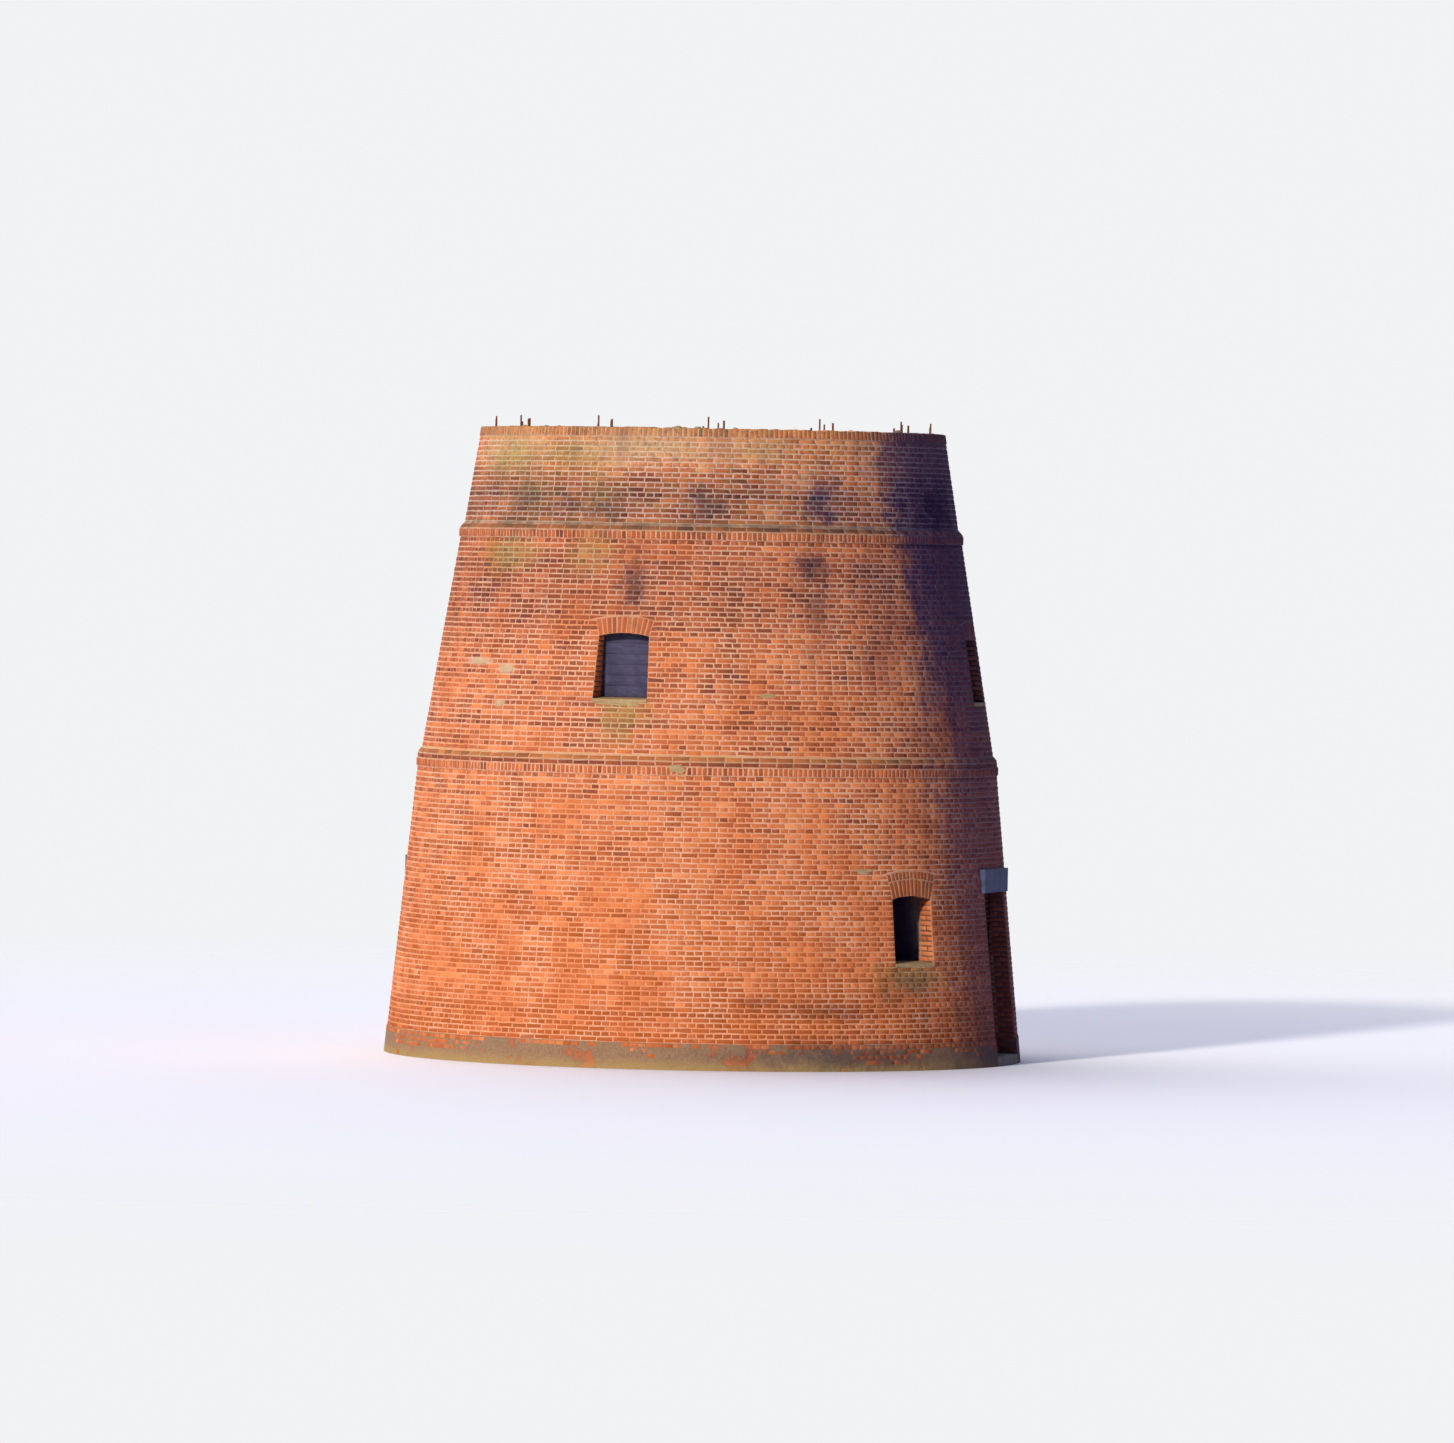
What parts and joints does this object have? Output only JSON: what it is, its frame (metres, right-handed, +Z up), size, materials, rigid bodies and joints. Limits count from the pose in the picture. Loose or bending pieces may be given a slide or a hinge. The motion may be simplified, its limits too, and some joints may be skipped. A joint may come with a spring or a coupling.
{
  "type": "ruined windmill tower",
  "caption": "Round tapering brick tower of a windmill without its cap and sails, with string courses, arched windows, doorways and anchor rods on the open wall head",
  "frame": {"origin": "centre of the tower on the ground, at the middle of the underside of its ground floor", "axes": "+Z is up along the tower's axis; -Y faces the camera of the picture; +X is to the picture's right, close to the bearing of the nearer doorway"},
  "size_m": [9.83, 9.83, 9.81],
  "materials": {
    "wall_brick": "matte",
    "moulding_brick": "matte",
    "paving_brick": "matte",
    "render": "matte",
    "mortar": "matte",
    "concrete": "matte",
    "threshold_stone": "matte",
    "weathered_board": "matte",
    "floor_timber": "matte",
    "rusty_iron": "matte"
  },
  "bodies": {
    "root": {"anchor_rods": "rusty_iron", "door_lintels": "concrete", "door_thresholds": "threshold_stone", "doorway_heads": "wall_brick", "floor_boards": "floor_timber", "floor_joists": "floor_timber", "ground_floor": "paving_brick", "lower_string_course_front_and_back": "moulding_brick", "lower_string_course_sides": "moulding_brick", "lower_wall_back": "wall_brick", "lower_wall_back_right": "wall_brick", "lower_wall_front": "wall_brick", "lower_wall_front_left": "wall_brick", "lower_wall_left": "wall_brick", "lower_wall_right": "wall_brick", "lower_wall_window_pier_left": "wall_brick", "lower_wall_window_pier_right": "wall_brick", "lower_window_aprons": "wall_brick", "lower_window_arches": "moulding_brick", "lower_window_heads": "wall_brick", "lower_window_rear_arches": "moulding_brick", "lower_window_sills": "mortar", "middle_wall_back_left": "wall_brick", "middle_wall_back_right": "wall_brick", "middle_wall_front_left": "wall_brick", "middle_wall_front_right": "wall_brick", "plinth_back": "render", "plinth_front": "render", "rim_course_front_and_back": "moulding_brick", "rim_course_sides": "moulding_brick", "top_wall_back": "wall_brick", "top_wall_front": "wall_brick", "top_wall_left": "wall_brick", "top_wall_right": "wall_brick", "upper_string_course_front_and_back": "moulding_brick", "upper_string_course_sides": "moulding_brick", "upper_window_aprons": "wall_brick", "upper_window_arches": "moulding_brick", "upper_window_heads": "wall_brick", "upper_window_panels": "weathered_board", "upper_window_rear_arches": "moulding_brick", "upper_window_sills": "mortar"}
  },
  "joints": []
}
